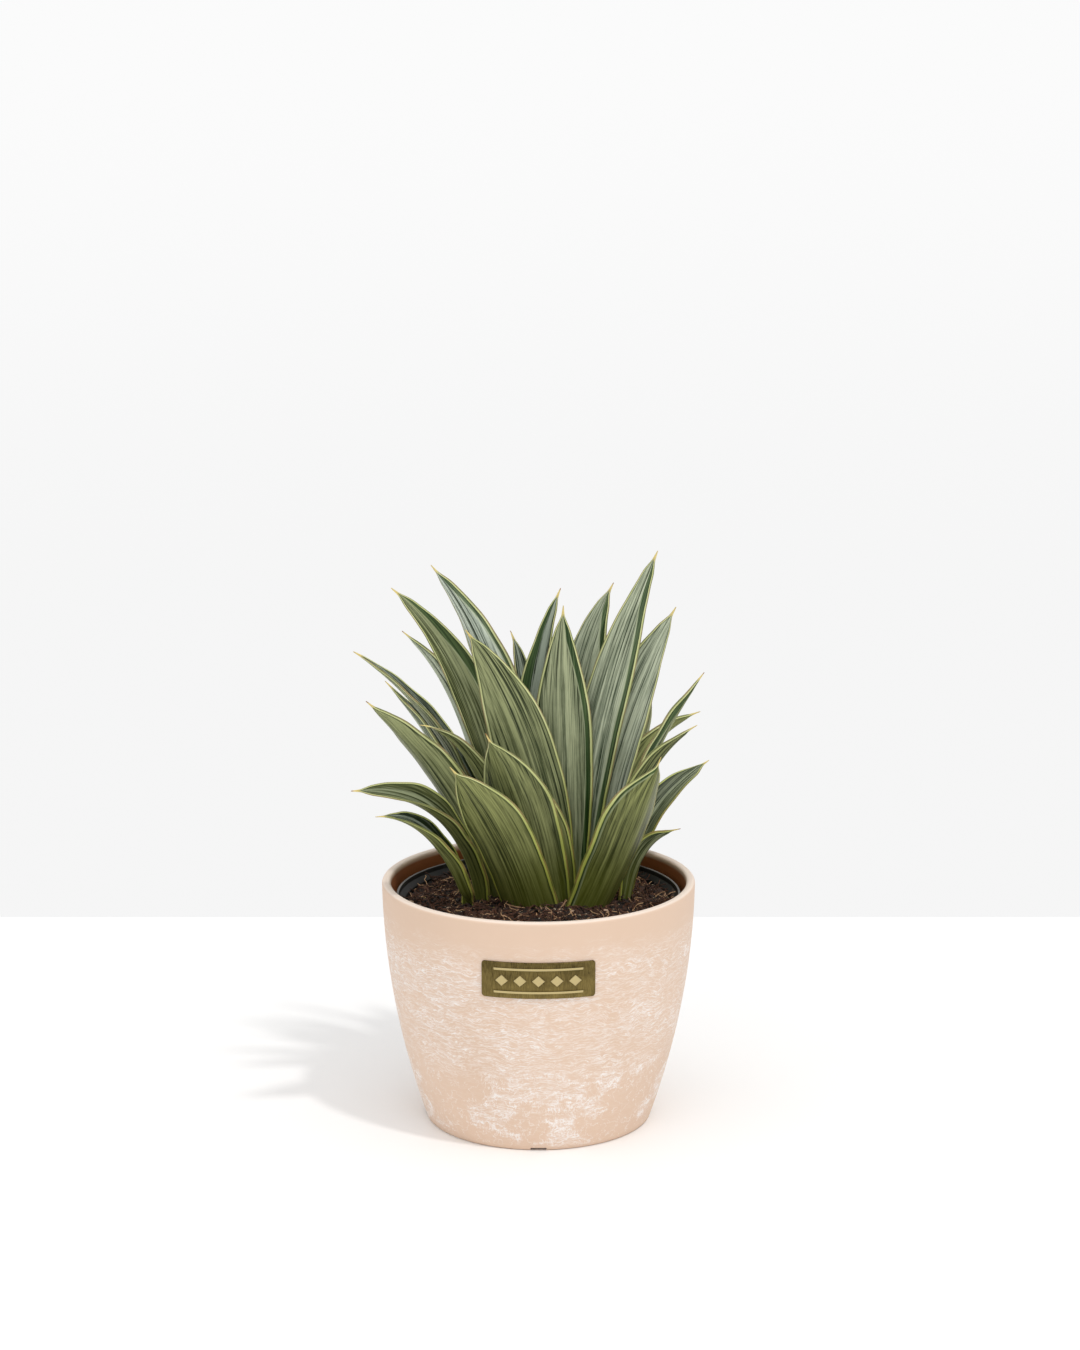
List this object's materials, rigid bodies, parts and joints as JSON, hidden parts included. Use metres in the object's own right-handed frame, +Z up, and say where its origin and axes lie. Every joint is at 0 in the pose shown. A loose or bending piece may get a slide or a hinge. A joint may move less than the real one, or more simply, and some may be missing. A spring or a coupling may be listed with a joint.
{
  "type": "potted snake plant",
  "caption": "Compact snake plant with stiff, channelled, pale-edged leaves, in soil in a nursery pot that stands inside a tapered round planter with a curved metal name plate.",
  "frame": {"origin": "centre of the planter's footprint, on the surface it stands on, below the middle of the plant's box", "axes": "+Z up along the planter's axis; -Y is the front, where the name plate is; +X is to the right of someone facing the plate"},
  "size_m": [0.159, 0.1405, 0.2546],
  "materials": {
    "planter_wall": "matt peach with fine white lime-wash streaks",
    "plate_brass": "brushed antique brass with a lighter raised motif",
    "nursery_plastic": "thin satin black plastic",
    "potting_soil": "damp dark brown soil with coir fibres, bark and white grit",
    "leaf": "satin grey-green with long stripes and pale yellow-green margins"
  },
  "bodies": {
    "root": {"planter": "planter_wall", "name_plate": "plate_brass", "nursery_pot": "nursery_plastic", "soil": "potting_soil", "leaf_front_left_short": "leaf", "leaf_front_left_broad": "leaf", "leaf_front_inner_short": "leaf", "leaf_centre_left_broad": "leaf", "leaf_centre_upright": "leaf", "leaf_centre_rear": "leaf", "leaf_right_rear_upright": "leaf", "leaf_right_tallest": "leaf", "leaf_right_tall": "leaf", "leaf_right_hidden": "leaf", "leaf_right_upper": "leaf", "leaf_right_rear_low": "leaf", "leaf_right_middle": "leaf", "leaf_front_right_broad": "leaf", "leaf_right_low": "leaf", "leaf_right_lowest": "leaf", "leaf_rear_small": "leaf", "leaf_left_rear_tall": "leaf", "leaf_left_tall": "leaf", "leaf_left_rear_upper": "leaf", "leaf_left_upper": "leaf", "leaf_left_rear_middle": "leaf", "leaf_left_middle": "leaf", "leaf_left_inner_curled": "leaf", "leaf_left_arching": "leaf", "leaf_left_lowest": "leaf", "leaf_back_centre_short": "leaf", "leaf_back_left_short": "leaf"}
  },
  "joints": []
}
